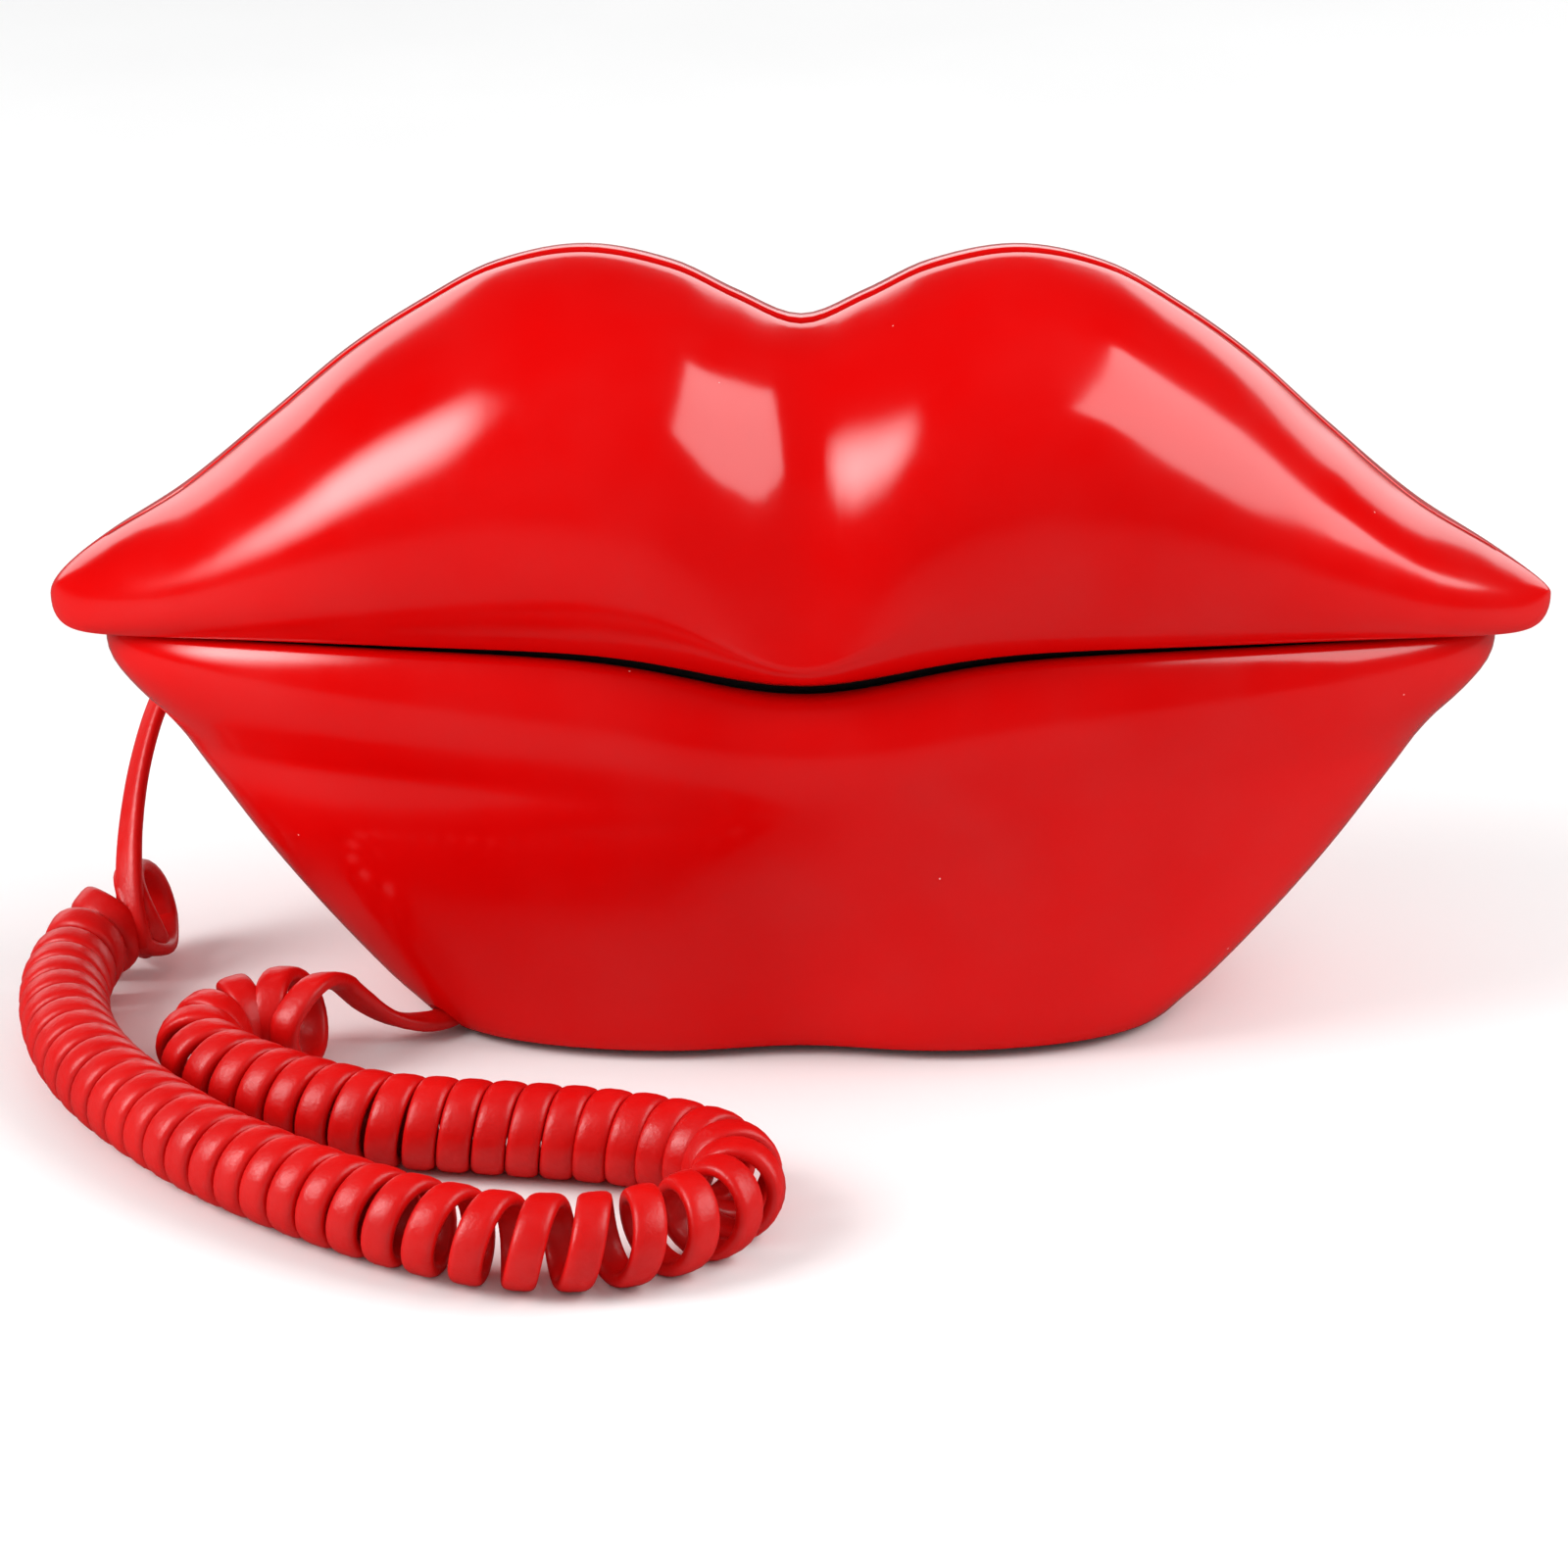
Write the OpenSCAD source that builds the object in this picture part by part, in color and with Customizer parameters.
// A corded telephone shaped like a pair of lips. The upper lip is the handset, with the keypad on its
// underside. The lower lip is the base, with the cradle in the mouth line. X runs from corner to corner
// of the mouth, the lips bulge towards -Y, and the feet stand on Z = 0. All sizes are in millimetres.

/* [Lips] */
// Width of the handset across the corners of the mouth
handset_w = 215; // [209:1:221]
// Height of the whole telephone
phone_h = 110.8; // [109:0.2:113]
// Bulge of the lips in front of the shell seam
front_depth = 42; // [40:1:45]
// Bulge of the lips behind the shell seam
rear_depth = 36; // [34:1:39]
// Width of the base across its corners
base_w = 198.6; // [194:0.2:202]
// Height of the mouth line away from its middle dip
mouth_h = 62.3; // [61.5:0.1:63]
// How much lower the handset runs at its right end than at its left end
right_droop = 2.2; // [0:0.1:2.4]
// Wall of the four lip shells
wall = 2.4; // [2:0.1:2.6]

/* [Handset] */
// Distance between the rows of keys
row_pitch = 12; // [11.5:0.1:12.4]
// Distance between the columns of keys
column_pitch = 13; // [12:0.1:13.4]
// How far a key goes in
key_travel = 1.2; // [0.8:0.1:1.3]

/* [Base] */
// How far the feet stand out below the shells
foot_gap = 1.2; // [1:0.1:1.5]
// How far the hook plunger rises when the handset is lifted
hook_travel = 4; // [2:0.5:4]
// How far each slide switch moves
switch_travel = 4; // [3:0.5:4]

/* [Cord] */
// Outer diameter of the curly run
curl_d = 13; // [12:0.1:13.4]
// Diameter of the plain stand-in for the flat leads
lead_d = 3.2; // [2.6:0.1:3.4]

/* [Hidden] */
KEYS = ["key_1", "key_2", "key_3", "key_4", "key_5", "key_6", "key_7", "key_8", "key_9",
        "key_star", "key_0", "key_hash", "key_mute", "key_redial"];

red = [0.83, 0.02, 0.03];
cord_red = [0.72, 0.05, 0.05];
black = [0.03, 0.03, 0.035];
board_green = [0.05, 0.28, 0.14];
steel = [0.66, 0.67, 0.69];
rubber = [0.08, 0.08, 0.08];
clear_plastic = [0.82, 0.85, 0.88];

fit = 0.3;              // gap between a cover's edge and the shell around it
cover_t = 2;            // thickness of the handset's underside cover and the cradle
seam_y = (front_depth - rear_depth) / 2;
tip_h = 59.5;           // height of the handset's two corners
tip_wall = 5;           // solid plastic in each corner of the handset
mouth_in = 0.86;        // depth of the mouth's edge as a share of the full bulge
corner_fall = 5.8;      // fall of the mouth line at its corners
dip_depth = 4.7;        // dip of the mouth line under the middle of the upper lip
dip_w = 20;             // distance over which the dip fades
droop_x = 64;           // where the handset's right end starts to run lower
droop_w = 7;            // distance over which it does
widest = 0.3;           // height of the upper lip's widest line, as a share of the lip's height
widest_dip = 0.18;      // how much lower it is at the middle bulge
bulge_w = 17;           // width of the middle bulge
valley_depth = 0.13;    // depth of the valley above the middle bulge, as a share of the lip's depth
valley_w = 11;          // width of that valley
groove_depth = 2.6;     // groove in the middle of the lower lip, at the foot
groove_w = 13;          // width of that groove
front_fullness = 2.3;   // exponent of the upper lip's section in front of the ridge
rear_fullness = 1.75;   // exponent behind the ridge
top_tip = 26;           // the higher, the blunter the tip above the corner
low_tip = 40;           // the same below it
foot_square = 3.2;      // exponent of the lower lip's outline at the foot
flange_t = 1;           // flange that keeps a key in its hole
cover_half = 92;        // half length of the handset's underside cover
base_half = base_w / 2;
handset_half = handset_w / 2;

// Ridge of the upper lip: share of the half width, share of the height above the mouth line
ridge = [[0, 0.785], [0.084, 0.86], [0.167, 0.95], [0.284, 1], [0.4, 0.95], [0.493, 0.84],
         [0.595, 0.69], [0.698, 0.495], [0.82, 0.27], [0.92, 0.14], [1, 0.045]];
// Half width of the lower lip from its foot (0) to the mouth line (1), as a share of the half width
flank = [[0, 0.56], [0.03, 0.573], [0.1, 0.617], [0.26, 0.703], [0.43, 0.785], [0.61, 0.862],
         [0.75, 0.922], [0.83, 0.967], [0.9, 0.997], [0.96, 1.004], [1, 0.995]];
// Bulge of the lower lip over the same height, as a share of the full bulge
belly = [[0, 0.75], [0.03, 0.772], [0.1, 0.795], [0.26, 0.835], [0.43, 0.885], [0.61, 0.94],
         [0.75, 0.965], [0.83, 0.965], [0.9, 0.945], [0.96, 0.905], [1, 0.86]];

// ---- curves -------------------------------------------------------------------------------------

function span(p, x, i = 0) = i >= len(p) - 2 || x < p[i + 1].x ? i : span(p, x, i + 1);
function slope(p, i) = i == 0 ? 0
    : i == len(p) - 1 ? (p[i].y - p[i - 1].y) / (p[i].x - p[i - 1].x)
    : (p[i + 1].y - p[i - 1].y) / (p[i + 1].x - p[i - 1].x);

// A smooth curve through the points p, level at the first one
function curve(p, x) =
    let (i = span(p, x), w = p[i + 1].x - p[i].x, t = (x - p[i].x) / w)
    (2 * t^3 - 3 * t^2 + 1) * p[i].y + (t^3 - 2 * t^2 + t) * slope(p, i) * w
    + (3 * t^2 - 2 * t^3) * p[i + 1].y + (t^3 - t^2) * slope(p, i + 1) * w;

function bump(x, width) = exp(-(x / width)^2);

// The mouth line droops to its corners and dips under the middle of the upper lip
function mouth_z(x) = mouth_h - corner_fall * (x / base_half)^4 - dip_depth * bump(x, dip_w);

// Space between the red edges of the two lips
function lip_gap(x) = 0.5 + 1.2 * bump(x, 40);

// Undersides of the handset's cover, and top of the cradle 0.3 below it
function cover_z(x) = mouth_z(x) + lip_gap(x) + 0.8;
function cradle_z(x) = cover_z(x) - 0.3;

// Fall of the handset's right end
function droop(x) = right_droop / (1 + exp((droop_x - x) / droop_w));

// Depth of the handset at x, and of the edge of its mouth
function handset_depth(x, depth) = depth * max(0, 1 - (x / handset_half)^2)^0.65;
function mouth_reach(x, depth) = mouth_in * handset_depth(x, depth);

// ---- lip surfaces -------------------------------------------------------------------------------

// A point of the upper lip: s turns from corner to corner, v runs from the ridge (0) to the mouth (1).
// side is -1 for the front and 1 for the rear, and t is the distance inwards.
function upper_lip(s, v, side, depth, t) =
    let (u = sin(s),
         x = (handset_half - (t > 0 ? tip_wall : 0)) * u,
         close = sqrt(max(0, 1 - abs(u)^top_tip)),
         crest = mouth_h + (phone_h - mouth_h) * curve(ridge, abs(x) / handset_half) - droop(x) - t,
         top = tip_h + (crest - tip_h) * close,
         low = tip_h + (mouth_z(x) + lip_gap(x) - tip_h) * sqrt(max(0, 1 - abs(u)^low_tip)),
         mid = low + (widest - widest_dip * bump(x, bulge_w)) * (top - low),
         reach = (handset_depth(x, depth) - t) * (t > 0 ? close : 1),
         edge = acos(mouth_in),
         a = 90 - v * (90 + edge),
         full = 2 / (side < 0 ? front_fullness : rear_fullness),
         rise = max(0, sin(a)),
         valley = side < 0 ? valley_depth * bump(x, valley_w) * rise^0.6 * (1 - rise^6) : 0)
    a >= 0 ? [x, seam_y + side * reach * cos(a)^full * (1 - valley), mid + (top - mid) * sin(a)^full]
           : [x, seam_y + side * reach * cos(a), mid + (mid - low) * sin(a) / sin(edge)];

// Squareness of the lower lip's outline: fuller at the foot, a plain ellipse at the mouth
function squareness(v) = foot_square - (foot_square - 2) * min(1, v / 0.7);

// A point of the lower lip: q turns half way round from corner to corner, v runs from foot (0) to mouth (1)
function lower_lip(q, v, side, depth, t) =
    let (n = squareness(v),
         x = (base_half * curve(flank, v) - t) * sign(cos(q)) * abs(cos(q))^(2 / n),
         y = (depth * curve(belly, v) - t) * max(0, sin(q))^(2 / n),
         x_top = (base_half * curve(flank, 1) - t) * cos(q),
         groove = side < 0 ? groove_depth * bump(x, groove_w) * (1 - v) : 0)
    [x, seam_y + side * max(0, y - groove), foot_gap + v * (mouth_z(x_top) - foot_gap)];

// ---- shells from grids of points ----------------------------------------------------------------

function flip(faces) = [for (f = faces) [f[2], f[1], f[0]]];
function quad(a, b, c, d) = [[a, b, c], [a, c, d]];

// Position in the list of a grid whose first and last rows are single points
function pole_index(i, j, n, m) = i == 0 ? 0 : i == n ? 1 + (n - 1) * (m + 1) : 1 + (i - 1) * (m + 1) + j;

module upper_lip_shell(side, depth) {
    n = 40;
    m = 13;
    count = 2 + (n - 1) * (m + 1);
    points = [for (t = [0, wall], i = [0:n], j = [0:(i == 0 || i == n ? 0 : m)])
        upper_lip(-90 + 180 * i / n, j / m, side, depth, t)];
    skin = [for (i = [0:n - 1], j = [0:m - 1])
        let (a = pole_index(i, j, n, m), b = pole_index(i + 1, j, n, m),
             c = pole_index(i + 1, j + 1, n, m), d = pole_index(i, j + 1, n, m))
        each i == 0 ? [[a, b, c]] : i == n - 1 ? [[a, b, d]] : quad(a, b, c, d)];
    rims = [for (i = [0:n - 1], j = [0, m])
        let (a = pole_index(i, j, n, m), b = pole_index(i + 1, j, n, m))
        each j == 0 ? quad(a, a + count, b + count, b) : quad(a, b, b + count, a + count)];
    inside = [for (f = flip(skin)) [for (k = f) k + count]];
    faces = concat(skin, rims, inside);
    polyhedron(points, side < 0 ? faces : flip(faces));
}

// The lower lip has whole rows at both ends. A filled one is closed over its seam, foot and mouth.
module lower_lip_shell(side, depth) {
    n = 44;
    m = 13;
    row = m + 1;
    count = (n + 1) * row;
    points = [for (t = [0, wall], i = [0:n], j = [0:m]) lower_lip(180 * i / n, j / m, side, depth, t)];
    skin = [for (i = [0:n - 1], j = [0:m - 1])
        let (a = i * row + j)
        each quad(a, a + row, a + row + 1, a + 1)];
    foot = [for (i = [0:n - 1]) let (a = i * row) each quad(a, a + count, a + row + count, a + row)];
    mouth = [for (i = [0:n - 1]) let (a = i * row + m) each quad(a, a + row, a + row + count, a + count)];
    right = [for (j = [0:m - 1]) each quad(j, j + 1, j + 1 + count, j + count)];
    left = [for (j = [0:m - 1]) let (a = n * row + j) each quad(a, a + count, a + 1 + count, a + 1)];
    inside = [for (f = flip(skin)) [for (k = f) k + count]];
    faces = concat(skin, foot, mouth, right, left, inside);
    polyhedron(points, side < 0 ? faces : flip(faces));
}

// ---- plates that follow the mouth line ----------------------------------------------------------

module wave(low, high, half) {
    n = 44;
    xs = [for (i = [0:n]) half * (2 * i / n - 1)];
    translate([0, 60, 0]) rotate([90, 0, 0]) linear_extrude(120)
        polygon(concat([for (x = xs) [x, low(x)]], [for (i = [n:-1:0]) [xs[i], high(xs[i])]]));
}

// Outline of the handset's mouth, moved inwards
module handset_outline(inset, half) {
    n = 28;
    xs = [for (i = [0:n]) half * (2 * i / n - 1)];
    linear_extrude(120) polygon(concat(
        [for (x = xs) [x, seam_y - mouth_reach(x, front_depth) + inset]],
        [for (i = [n:-1:0]) [xs[i], seam_y + mouth_reach(xs[i], rear_depth) - inset]]));
}

// Outline of the lower lip at height v, moved inwards
module base_outline(v, inset) {
    n = 36;
    front = [for (i = [0:n]) lower_lip(180 * i / n, v, -1, front_depth, inset)];
    rear = [for (i = [n - 1:-1:1]) lower_lip(180 * i / n, v, 1, rear_depth, inset)];
    linear_extrude(120) polygon([for (p = concat(front, rear)) [p.x, p.y]]);
}

module rounded_block(size, r) {
    translate([-size.x / 2 + r, -size.y / 2, 0]) cube([size.x - 2 * r, size.y, size.z]);
    translate([-size.x / 2, -size.y / 2 + r, 0]) cube([size.x, size.y - 2 * r, size.z]);
    for (i = [-1, 1], j = [-1, 1]) translate([i * (size.x / 2 - r), j * (size.y / 2 - r), 0])
        cylinder(r = r, h = size.z, $fn = 32);
}

module block(low, high) {
    translate(low) cube(high - low);
}

// ---- handset ------------------------------------------------------------------------------------

handset_screw_x = 38;
handset_screw_front = -14;
handset_screw_rear = 18;
boss_foot = 66;                 // where the screw bosses meet the cover's pads
screw_r = 1.25;
screw_head_r = 2.8;
boss_r = 3.5;
cord_slot_x = -79;              // the cord leaves the rear shell here
cord_slot_w = 10;
cord_slot_top = 72.6;
plug_z = 68.2;

module screw_boss(x, y, foot, top) {
    difference() {
        translate([x, y, foot]) cylinder(r = boss_r, h = top - foot, $fn = 32);
        translate([x, y, foot - 1]) cylinder(r = screw_r + 0.05, h = 10, $fn = 32);
    }
}

module handset_front_shell() {
    color(red) {
        upper_lip_shell(-1, front_depth);
        for (i = [-1, 1]) screw_boss(
            i * handset_screw_x, handset_screw_front, boss_foot, phone_h - 5.4);
    }
}

module handset_rear_shell() {
    color(red) difference() {
        union() {
            upper_lip_shell(1, rear_depth);
            for (i = [-1, 1]) screw_boss(
                i * handset_screw_x, handset_screw_rear, boss_foot, phone_h - 9);
        }
        block([cord_slot_x - cord_slot_w / 2, 8, 50], [cord_slot_x + cord_slot_w / 2, 40, cord_slot_top]);
    }
}

// Flat keypad bed, sunk into the cover
bed_low = 66.2;
bed_high = 68;
bed_half = [31, 21];
membrane_low = bed_high + flange_t + key_travel + 0.5;
membrane_high = membrane_low + 2.4;
ear_x = 62;
mic_x = -63;
seat_z = 66;
keypad_posts = [for (i = [-1, 1], j = [-1, 1]) [i * (bed_half.x - 1), seam_y + j * (bed_half.y - 1)]];

// Keys lie in five rows from the earpiece end to the microphone end
key_spots = concat(
    [for (row = [0:3], column = [0:2]) [(2 - row) * row_pitch, seam_y + (column - 1) * column_pitch]],
    [for (column = [-0.5, 0.5]) [-2 * row_pitch, seam_y + column * column_pitch * 1.4]]);
key_sizes = [for (i = [0:len(KEYS) - 1]) i < 12 ? [7.6, 9.6] : [6.4, 12]];

module underside_cover() {
    color(black) difference() {
        union() {
            intersection() {
                wave(function(x) cover_z(x), function(x) cover_z(x) + cover_t, cover_half);
                handset_outline(wall * mouth_in + 2 * fit, cover_half);
            }
            block([-bed_half.x - cover_t, seam_y - bed_half.y - cover_t, 61.6],
                  [bed_half.x + cover_t, seam_y + bed_half.y + cover_t, bed_high]);
            for (p = keypad_posts) translate([p.x, p.y, bed_high])
                cylinder(r = 2, h = membrane_high - bed_high, $fn = 24);
            for (i = [-1, 1], y = [handset_screw_front, handset_screw_rear])
                translate([i * handset_screw_x, y, 64]) cylinder(r = 4.5, h = boss_foot - 64, $fn = 32);
            translate([ear_x, seam_y, 63]) cylinder(r = 16, h = seat_z - 63, $fn = 64);
            translate([mic_x, seam_y, 63.5]) cylinder(r = 8.5, h = seat_z + 2 - 63.5, $fn = 48);
            block([-53, -13, 63.6], [-41, 19, seat_z]);
            block([cord_slot_x - 5, 4, 60.5], [cord_slot_x + 5, 15.8, 64]);
        }
        intersection() {
            wave(function(x) cover_z(x) - 20, function(x) cover_z(x), 99);
            block([-99, -60, 40], [99, 60, 70]);
        }
        block([-bed_half.x, seam_y - bed_half.y, 50], [bed_half.x, seam_y + bed_half.y, bed_low]);
        for (i = [0:len(KEYS) - 1]) translate([key_spots[i].x, key_spots[i].y, bed_low - 1])
            rounded_block([key_sizes[i].x + 0.6, key_sizes[i].y + 0.6, 4], 2.3);
        for (i = [-1, 1], y = [handset_screw_front, handset_screw_rear])
            translate([i * handset_screw_x, y, 60]) {
                cylinder(r = 1.6, h = 10, $fn = 32);
                cylinder(r = 3.1, h = 5, $fn = 32);
            }
        for (a = [0:60:300]) translate([ear_x + 5 * cos(a), seam_y + 5 * sin(a), 55])
            cylinder(r = 1, h = 20, $fn = 24);
        translate([ear_x, seam_y, 55]) cylinder(r = 1, h = 20, $fn = 24);
        translate([mic_x, seam_y, seat_z]) cylinder(r = 6.6, h = 5, $fn = 48);
        for (i = [-1, 0, 1]) translate([mic_x + 3 * i, seam_y, 55]) cylinder(r = 0.8, h = 20, $fn = 24);
    }
}

// A screw that points up from its head's flat side, with a cross in the head
module cross_head_screw(length) {
    difference() {
        translate([0, 0, -1.2]) cylinder(r = screw_head_r, h = 1.2, $fn = 32);
        block([-2, -0.3, -2], [2, 0.3, -0.7]);
        block([-0.3, -2, -2], [0.3, 2, -0.7]);
    }
    cylinder(r = screw_r, h = length, $fn = 32);
}

module handset_screws() {
    color(steel) for (i = [-1, 1], y = [handset_screw_front, handset_screw_rear])
        translate([i * handset_screw_x, y, 65]) cross_head_screw(9);
}

module key(i) {
    size = key_sizes[i];
    color(i < 12 ? [0.93, 0.93, 0.92] : [0.75, 0.05, 0.06]) translate([key_spots[i].x, key_spots[i].y, 0]) {
        translate([0, 0, 64.2]) rounded_block([size.x, size.y, bed_high + 0.1 - 64.2], 2);
        translate([0, 0, bed_high]) rounded_block([size.x + 2, size.y + 2, flange_t], 2);
        translate([0, 0, bed_high + flange_t]) cylinder(r = 1.8, h = 1.4, $fn = 32);
    }
}

module keypad_membrane() {
    color([0.35, 0.36, 0.38]) difference() {
        block([-bed_half.x, seam_y - bed_half.y, membrane_low],
              [bed_half.x, seam_y + bed_half.y, membrane_high]);
        for (p = keypad_posts) translate([p.x, p.y, 60]) cylinder(r = 2.2, h = 20, $fn = 24);
        for (p = key_spots) translate([p.x, p.y, membrane_low - 1]) cylinder(r = 2.4, h = 2.5, $fn = 32);
    }
}

module keypad_board() {
    color(board_green) {
        block([-bed_half.x - 1, seam_y - bed_half.y - 1, membrane_high],
              [bed_half.x + 1, seam_y + bed_half.y + 1, membrane_high + 1.6]);
        block([-8, -6, membrane_high + 1.6], [6, 4, membrane_high + 3.4]);
        translate([16, 10, membrane_high + 1.6]) cylinder(r = 3, h = 7, $fn = 32);
    }
}

module earpiece_receiver() {
    color(steel) translate([ear_x, seam_y, seat_z + 1]) {
        cylinder(r = 14, h = 3, $fn = 64);
        translate([0, 0, 3]) cylinder(r = 8.5, h = 4.5, $fn = 48);
    }
}

module receiver_seal() {
    color(rubber) translate([ear_x, seam_y, seat_z]) difference() {
        cylinder(r = 14, h = 1, $fn = 64);
        translate([0, 0, -1]) cylinder(r = 11, h = 3, $fn = 64);
    }
}

module microphone() {
    color(steel) translate([mic_x, seam_y, seat_z + 1]) cylinder(r = 4.85, h = 5.2, $fn = 48);
}

module microphone_boot() {
    color(rubber) translate([mic_x, seam_y, seat_z]) difference() {
        cylinder(r = 6.5, h = 6.2, $fn = 48);
        translate([0, 0, 1]) cylinder(r = 4.85, h = 6, $fn = 48);
        translate([0, 0, -1]) cylinder(r = 3.9, h = 3, $fn = 48);
    }
}

module handset_weight() {
    color(steel) block([-52, -12, seat_z], [-42, 18, seat_z + 9]);
}

// A small modular socket with its mouth at the origin, facing +Y
module cord_socket() {
    color(black) difference() {
        block([-5, -13, -4.2], [5, 0, 4.2]);
        block([-4, -9, -3.2], [4, 1, 3.4]);
    }
}

// The plug that fits it, and the cord leaves at y = 5
module cord_plug() {
    color(clear_plastic) {
        block([-3.8, -8, -3], [3.8, 5, 2.6]);
        block([-1.6, -7, 2.6], [1.6, 3, 3.2]);
    }
}

socket_mouth_y = 17;

module handset_jack() {
    translate([cord_slot_x, socket_mouth_y, plug_z]) cord_socket();
}

module handset_plug() {
    translate([cord_slot_x, socket_mouth_y, plug_z]) cord_plug();
}

// ---- base ---------------------------------------------------------------------------------------

plate_top = foot_gap + 2.5;
post_spots = [[36, -15.6], [36, 16.8], [-40, -1.5], [-40, 16]];
foot_spots = [for (i = [-1, 1], y = [-15.5, 18]) [28 * i, y]];
foot_r = 3.5;
foot_h = 2.4;
ringer_spot = [20, -1];
board_low = 10;
board_high = 11.6;
board_posts = [[-17, -9], [47, -9], [-18.8, 18], [15.5, 17]];
plunger_x = 44;
line_jack_x = -9;
line_jack_y = 30.4;
line_jack_size = [15, 16.4, 13];
switch_xs = [8, 23];
switch_z = 14;
cord_door_spot = [-50, -17];    // where the cord passes under the front shell
base_plug_x = -42;
base_plug_y = -12;
base_plug_z = 8;

// The low arch that the cord passes through, cut from the front shell and the bottom plate
module cord_door() {
    r = 3;
    translate([cord_door_spot.x, cord_door_spot.y, 0]) rotate([0, 0, 40]) {
        block([-12, -r, -1], [7.5, r, 1.6]);
        translate([-12, 0, 1.6]) rotate([0, 90, 0]) cylinder(r = r, h = 19.5, $fn = 32);
    }
}

module base_front_shell() {
    color(red) difference() {
        lower_lip_shell(-1, front_depth);
        cord_door();
    }
}

module base_rear_shell() {
    color(red) difference() {
        lower_lip_shell(1, rear_depth);
        block([line_jack_x - 7.8, 20, board_high - 0.3],
              [line_jack_x + 7.8, 45, board_high + line_jack_size.z + 0.3]);
        for (x = switch_xs) block([x - 4.6, 20, switch_z - 1.6], [x + 4.6, 45, switch_z + 1.6]);
    }
}

module cradle_cover() {
    color(black) difference() {
        union() {
            intersection() {
                wave(function(x) mouth_z(x) - 2.6, function(x) mouth_z(x) - 0.4, 97);
                base_outline(1, wall + fit);
            }
            intersection() {
                wave(function(x) mouth_z(x) - 1.5, function(x) cradle_z(x), 92);
                base_outline(1, wall + 1);
            }
            for (p = post_spots) translate([p.x, p.y, plate_top]) cylinder(r = boss_r, h = 57, $fn = 32);
        }
        for (p = post_spots) translate([p.x, p.y, plate_top - 1])
            cylinder(r = screw_r + 0.05, h = 11, $fn = 32);
        translate([plunger_x, seam_y, 40]) cylinder(r = 4.1, h = 30, $fn = 48);
    }
}

module bottom_plate() {
    color(black) difference() {
        union() {
            intersection() {
                base_outline(0, wall + fit);
                block([-80, -50, foot_gap], [80, 50, plate_top]);
            }
            for (p = board_posts) translate([p.x, p.y, foot_gap])
                cylinder(r = 2.8, h = board_low - foot_gap, $fn = 32);
        }
        for (p = board_posts) translate([p.x, p.y, 4]) cylinder(r = 1.05, h = 10, $fn = 24);
        for (p = post_spots) translate([p.x, p.y, 0]) {
            cylinder(r = 1.6, h = 10, $fn = 32);
            cylinder(r = 3.1, h = 2.6, $fn = 32);
        }
        for (p = foot_spots) translate([p.x, p.y, 0]) cylinder(r = foot_r + 0.1, h = foot_h, $fn = 32);
        for (a = [0:60:300]) translate([ringer_spot.x + 4 * cos(a), ringer_spot.y + 4 * sin(a), 0])
            cylinder(r = 0.9, h = 10, $fn = 24);
        cord_door();
    }
}

module base_screws() {
    color(steel) for (p = post_spots) translate([p.x, p.y, 2.6]) cross_head_screw(10);
}

module rubber_feet() {
    color(rubber) for (p = foot_spots) translate([p.x, p.y, 0]) cylinder(r = foot_r, h = foot_h, $fn = 48);
}

module main_board() {
    color(board_green) difference() {
        union() {
            block([-21, -12, board_low], [50, 13, board_high]);
            block([-21, 12, board_low], [31, 22, board_high]);
            block([-14, -8, board_high], [2, 0, board_high + 2.4]);
            for (x = [-12, -4, 4]) translate([x, 8, board_high]) cylinder(r = 2.5, h = 7, $fn = 32);
        }
        for (p = board_posts) translate([p.x, p.y, 0]) cylinder(r = 1.4, h = 20, $fn = 24);
    }
}

module board_screws() {
    color(steel) for (p = board_posts) translate([p.x, p.y, board_high]) {
        cylinder(r = 2, h = 1.2, $fn = 24);
        translate([0, 0, -6]) cylinder(r = 1, h = 6, $fn = 24);
    }
}

module base_weight() {
    color(steel) difference() {
        block([-12, -9, plate_top], [40, 11, plate_top + 5]);
        translate([ringer_spot.x, ringer_spot.y, 0]) cylinder(r = 5.5, h = 20, $fn = 32);
    }
}

spring_low = 22;
spring_high = 34;
plunger_stop = 59.2;            // the cradle stops the plunger's flange here
flange_high = plunger_stop - hook_travel;
stem_r = 2.2;

module pin(low, high, r) {
    translate([0, 0, low]) cylinder(r = r, h = high - low, $fn = 48);
}

module hook_plunger() {
    color([0.9, 0.9, 0.88]) translate([plunger_x, seam_y, 0]) {
        pin(15.4, flange_high - 1.4, stem_r);
        pin(spring_high, spring_high + 2, 4.6);
        pin(flange_high - 1.5, flange_high, 5.5);
        pin(flange_high, 62.4, 4);
        translate([0, 0, 62.4]) cylinder(r1 = 4, r2 = 3.4, h = 0.8, $fn = 48);
    }
}

module hook_spring() {
    turns = 6;
    wire = 0.45;
    steps = 14;
    points = [for (i = [0:turns * steps])
        let (a = 360 * i / steps)
        [plunger_x + 3.4 * cos(a), seam_y + 3.4 * sin(a),
         spring_low + wire + (spring_high - spring_low - 2 * wire) * i / (turns * steps)]];
    color(steel) sweep(points, wire, 6, [0, 0, 1]);
}

module plunger_guide() {
    color(black) difference() {
        union() {
            block([plunger_x - 5, seam_y - 8, board_high], [plunger_x + 5, seam_y - 6, spring_low]);
            block([plunger_x - 5, seam_y + 6, board_high], [plunger_x + 5, seam_y + 8, spring_low]);
            block([plunger_x - 5, seam_y - 8, spring_low - 3], [plunger_x + 5, seam_y + 8, spring_low]);
        }
        translate([plunger_x, seam_y, 0]) cylinder(r = stem_r + 0.05, h = 40, $fn = 48);
    }
}

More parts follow.
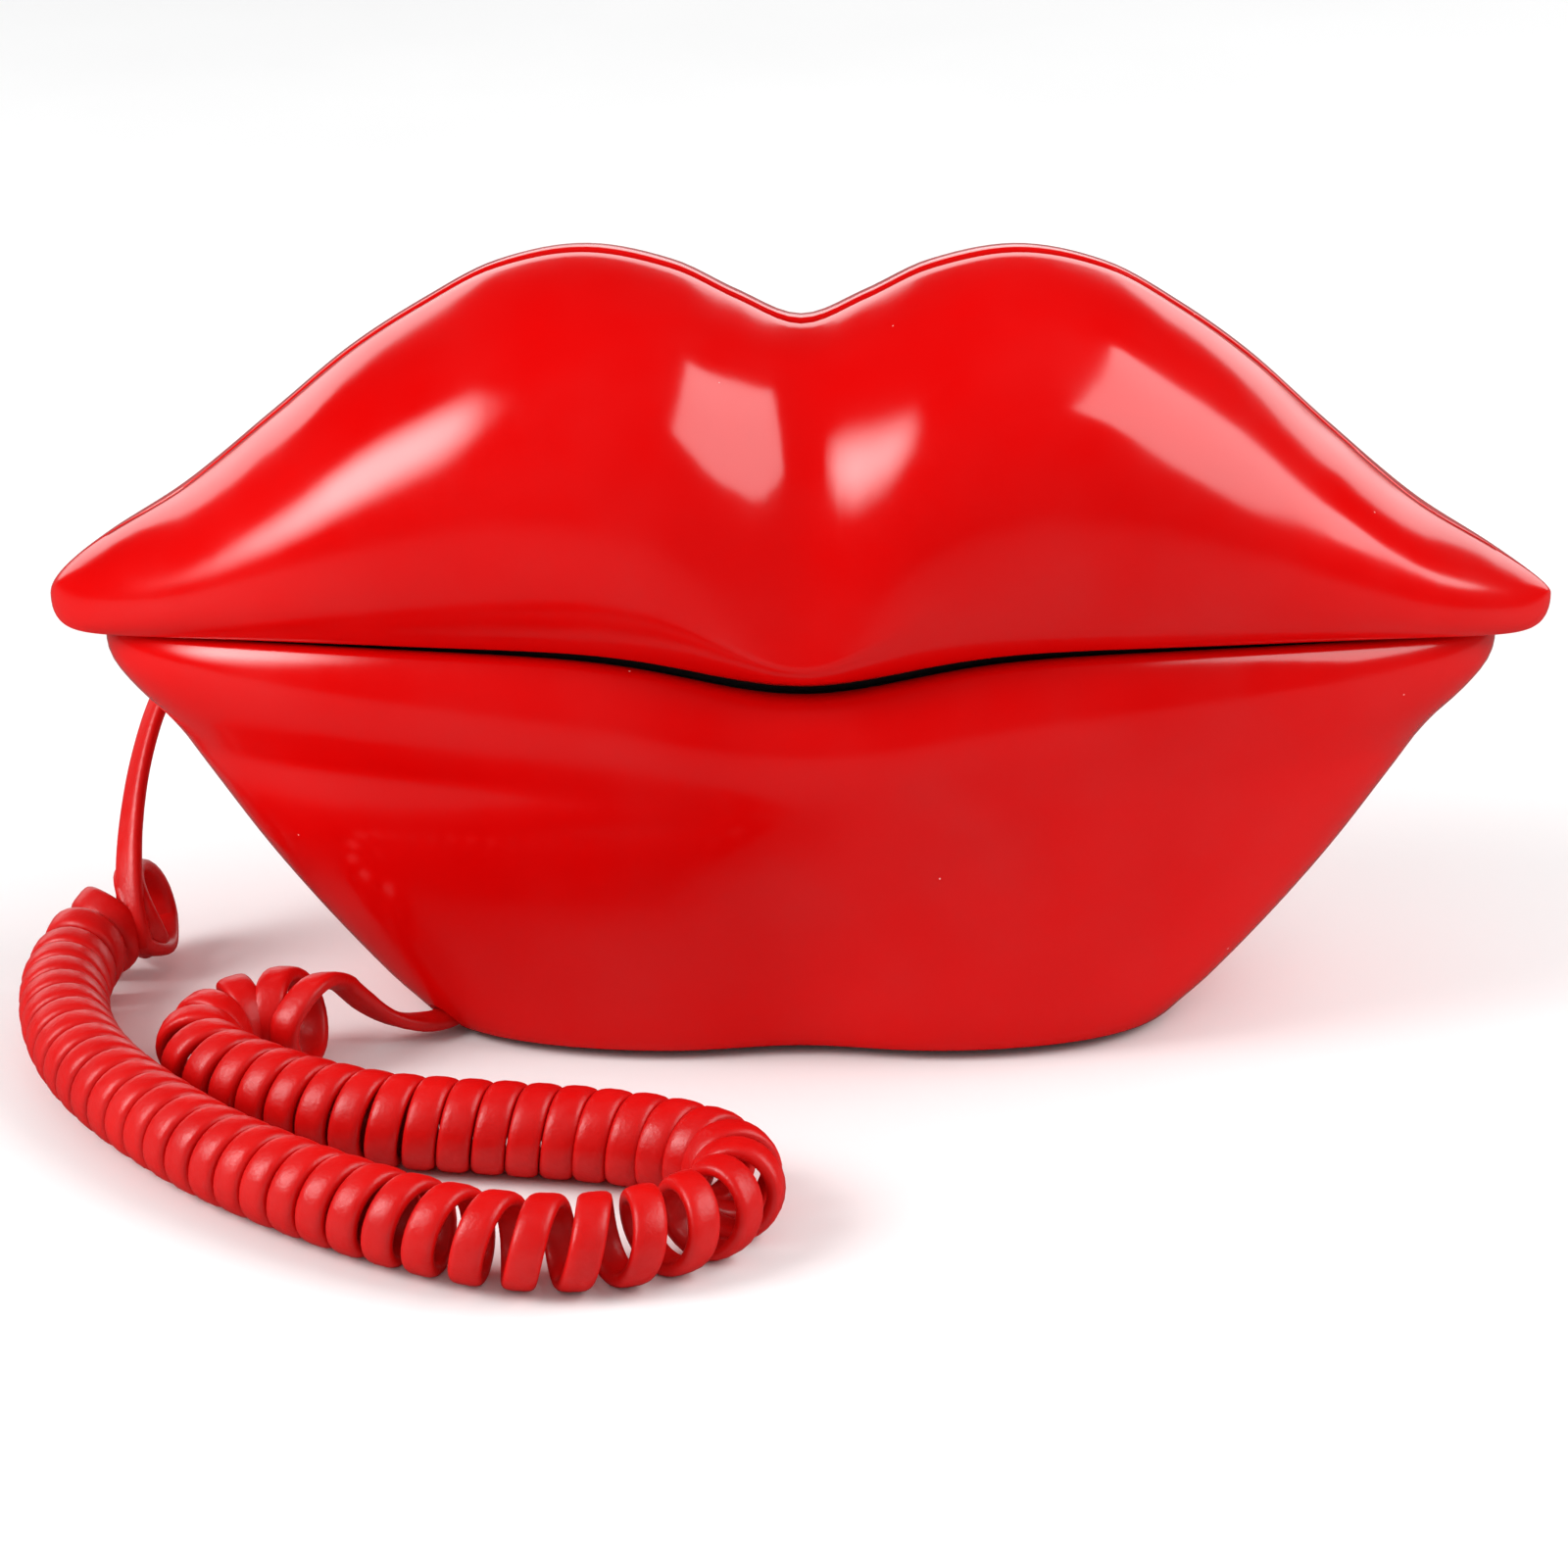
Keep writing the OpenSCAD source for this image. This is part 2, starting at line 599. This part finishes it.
module hook_switch() {
    translate([plunger_x, seam_y, board_high]) {
        color([0.2, 0.2, 0.22]) block([-3, -5.6, 0], [3, 5.6, 2.6]);
        color(steel) {
            block([-1.6, -5.4, 2.6], [1.6, -4.6, 3.5]);
            block([-1.6, -5.4, 3], [1.6, 4, 3.5]);
        }
    }
}

module ringer() {
    color(rubber) translate([ringer_spot.x, ringer_spot.y, board_high]) difference() {
        cylinder(r = 10, h = 6.5, $fn = 64);
        translate([0, 0, 4.5]) cylinder(r = 1.6, h = 3, $fn = 32);
    }
}

module base_cord_jack() {
    translate([base_plug_x + 7, base_plug_y, base_plug_z]) rotate([0, 0, 90]) cord_socket();
}

module base_plug() {
    translate([base_plug_x + 7, base_plug_y, base_plug_z]) rotate([0, 0, 90]) cord_plug();
}

module line_jack() {
    size = line_jack_size;
    color([0.12, 0.12, 0.13]) translate([line_jack_x, line_jack_y, board_high]) difference() {
        block([-size.x / 2, -size.y, 0], [size.x / 2, 0, size.z]);
        block([-5.9, -12, 2], [5.9, 1, 9]);
        block([-3.2, -12, 8.5], [3.2, 1, 11.5]);
    }
}

module slide_switch(x) {
    color(steel) difference() {
        block([x - 6, 20.2, board_high], [x + 6, 25, board_high + 4.8]);
        block([x - 5.2, 21, board_high + 0.8], [x + 5.2, 24.2, board_high + 4]);
        block([x - 4.2, 23, switch_z - 1.3], [x + 4.2, 26, switch_z + 1.3]);
    }
}

// The knob stands at its lower stop and slides towards +X
module switch_slider(x) {
    start = x - switch_travel / 2;
    color([0.85, 0.85, 0.85]) {
        block([start - 2.4, 21.4, board_high + 1.2], [start + 2.4, 23.8, board_high + 3.6]);
        block([start - 1.8, 23.7, switch_z - 1], [start + 1.8, 32.8, switch_z + 1]);
    }
}

module ringer_switch() { slide_switch(switch_xs[0]); }
module dial_mode_switch() { slide_switch(switch_xs[1]); }
module ringer_slider() { switch_slider(switch_xs[0]); }
module dial_mode_slider() { switch_slider(switch_xs[1]); }

// ---- cord ---------------------------------------------------------------------------------------

function unit(v) = v / norm(v);
function heading(p, i) = unit(p[min(i + 1, len(p) - 1)] - p[max(i - 1, 0)]);

// A tube of radius r with the given number of sides along the points p. flat keeps its rings upright.
module sweep(p, r, sides, flat) {
    last = len(p) - 1;
    rings = [for (i = [0:last])
        let (t = heading(p, i), across = unit(cross(t, flat)), over = cross(across, t))
        for (k = [0:sides - 1]) p[i] + r * (cos(360 * k / sides) * across + sin(360 * k / sides) * over)];
    walls = [for (i = [0:last - 1], k = [0:sides - 1])
        let (a = i * sides + k, b = i * sides + (k + 1) % sides)
        each quad(a, b, b + sides, a + sides)];
    ends = [[for (k = [sides - 1:-1:0]) k], [for (k = [0:sides - 1]) last * sides + k]];
    polyhedron(rings, concat(walls, ends));
}

// Middle line of the hanging lead, from the handset's plug down to the first turn of the curly run
handset_lead_route = [[-79, 22.3, 68], [-79, 25, 68], [-79.2, 28, 67.2], [-80, 30.6, 64.6],
    [-81.5, 31.4, 60.5], [-83.6, 30.4, 55.5], [-86.4, 28, 50], [-89.4, 25, 45], [-92.4, 21.8, 40.4],
    [-94.9, 18.3, 35.8], [-96.5, 14.6, 31.2], [-97.6, 10.6, 26.2], [-98.2, 6, 20.4],
    [-98.1, 1.6, 14.8], [-97.4, -1.2, 9.8], [-96.2, -1.2, 5.4], [-95, 1.2, 3.4]];

// Middle line of the curly run: down the left side, a hairpin at the right, and back to the base
curl_r = curl_d / 2;
curl_route = [[-94, 5.4, 9.2], [-96.6, 5.3, 9], [-99.2, 4.1, 8.3], [-101.3, 2, 7.7],
    [-102.8, -0.8, 7.3], [-103.9, -4, 7], [-104.7, -7.4, 6.8], [-105.2, -11, 6.6],
    [-105.5, -17.8, curl_r], [-104.2, -27.8, curl_r], [-101.2, -38, curl_r], [-96.5, -47.8, curl_r],
    [-90, -57.5, curl_r], [-80.5, -69, curl_r], [-70.5, -78, curl_r], [-60.5, -85.5, curl_r],
    [-51, -91.3, curl_r], [-41.5, -95.5, curl_r], [-33, -96.8, curl_r], [-25, -96, curl_r],
    [-17.5, -92.5, curl_r], [-11, -86.5, curl_r], [-8.5, -79.5, curl_r], [-11, -72.5, curl_r],
    [-18, -68, curl_r], [-28, -65, curl_r], [-38, -63.3, curl_r], [-48, -61.8, curl_r],
    [-57, -60, curl_r], [-66, -56, curl_r], [-74.5, -50.3, curl_r], [-81, -44.4, curl_r],
    [-84, -38.4, curl_r], [-82.6, -32.4, curl_r], [-79, -28.6, 6.8], [-75.2, -27.6, 7],
    [-71.4, -28.2, 7.3], [-67.8, -30.2, 7.5]];

// Middle line of the lead from the last turn to the plug under the base
base_lead_route = [[-67.8, -30, 13.4], [-67, -28.4, 13.9], [-66, -26.4, 12.6], [-64.8, -24.6, 10.4],
    [-63.2, -23.2, 8], [-61.2, -22.3, 5.8], [-58.8, -21.6, 4], [-56, -20.8, 2.9], [-53, -19.4, 2.3],
    [-50.6, -17.4, 2.2], [-48.2, -15.2, 3], [-46.4, -13.2, 5.4], [-44.6, -12.2, 7.3],
    [-42, -12, 7.8], [-40, -12, 7.8]];

module handset_lead() {
    color(cord_red) sweep(handset_lead_route, lead_d / 2, 8, [1, 0, 0]);
}

module curly_cord() {
    color(cord_red) sweep(curl_route, curl_r, 12, [0, 0, 1]);
}

module base_lead() {
    color(cord_red) sweep(base_lead_route, lead_d / 2, 8, [0, 0, 1]);
}

// ---- nodes --------------------------------------------------------------------------------------

handset_front_shell();
handset_rear_shell();
underside_cover();
handset_screws();
keypad_membrane();
keypad_board();
earpiece_receiver();
receiver_seal();
microphone();
microphone_boot();
handset_jack();
handset_weight();
key(0);  // key_1
key(1);  // key_2
key(2);  // key_3
key(3);  // key_4
key(4);  // key_5
key(5);  // key_6
key(6);  // key_7
key(7);  // key_8
key(8);  // key_9
key(9);  // key_star
key(10);  // key_0
key(11);  // key_hash
key(12);  // key_mute
key(13);  // key_redial
base_front_shell();
base_rear_shell();
cradle_cover();
bottom_plate();
base_screws();
rubber_feet();
main_board();
board_screws();
base_weight();
hook_plunger();
hook_spring();
plunger_guide();
hook_switch();
ringer();
base_cord_jack();
line_jack();
ringer_switch();
ringer_slider();
dial_mode_switch();
dial_mode_slider();
handset_plug();
handset_lead();
curly_cord();
base_lead();
base_plug();
